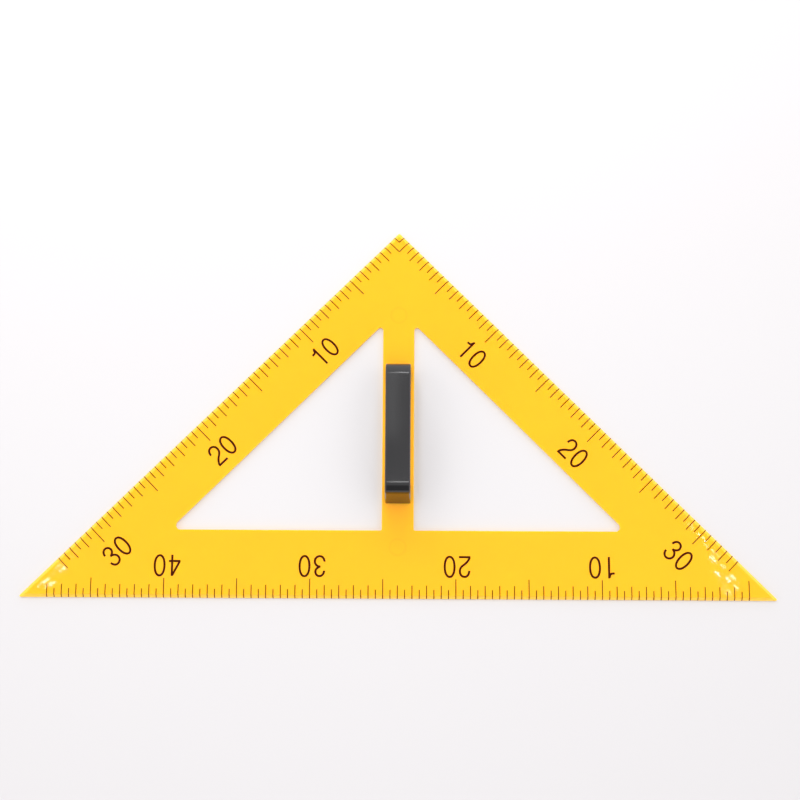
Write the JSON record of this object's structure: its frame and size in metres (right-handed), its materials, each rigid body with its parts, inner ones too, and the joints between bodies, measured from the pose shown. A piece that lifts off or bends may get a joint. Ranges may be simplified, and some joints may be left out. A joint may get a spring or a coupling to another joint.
{
  "type": "blackboard set square",
  "caption": "Large 45 degree teacher's set square with centimetre scales on its edges and a bail handle on its centre bar.",
  "frame": {"origin": "under the middle of the plate's outline, on the surface that the plate's back lies on", "axes": "+X along the long edge, +Y across the plate towards the right-angled corner, +Z out of the ruled front face, up from the surface"},
  "size_m": [0.5178, 0.2596, 0.033],
  "materials": {
    "plate": "glossy moulded yellow plastic with a dark brown printed scale",
    "handle": "semi-gloss moulded black ABS",
    "screw": "bright zinc-plated steel"
  },
  "bodies": {
    "root": {"plate": "plate", "handle": "handle", "upper_handle_screw": "screw", "lower_handle_screw": "screw"}
  },
  "joints": []
}
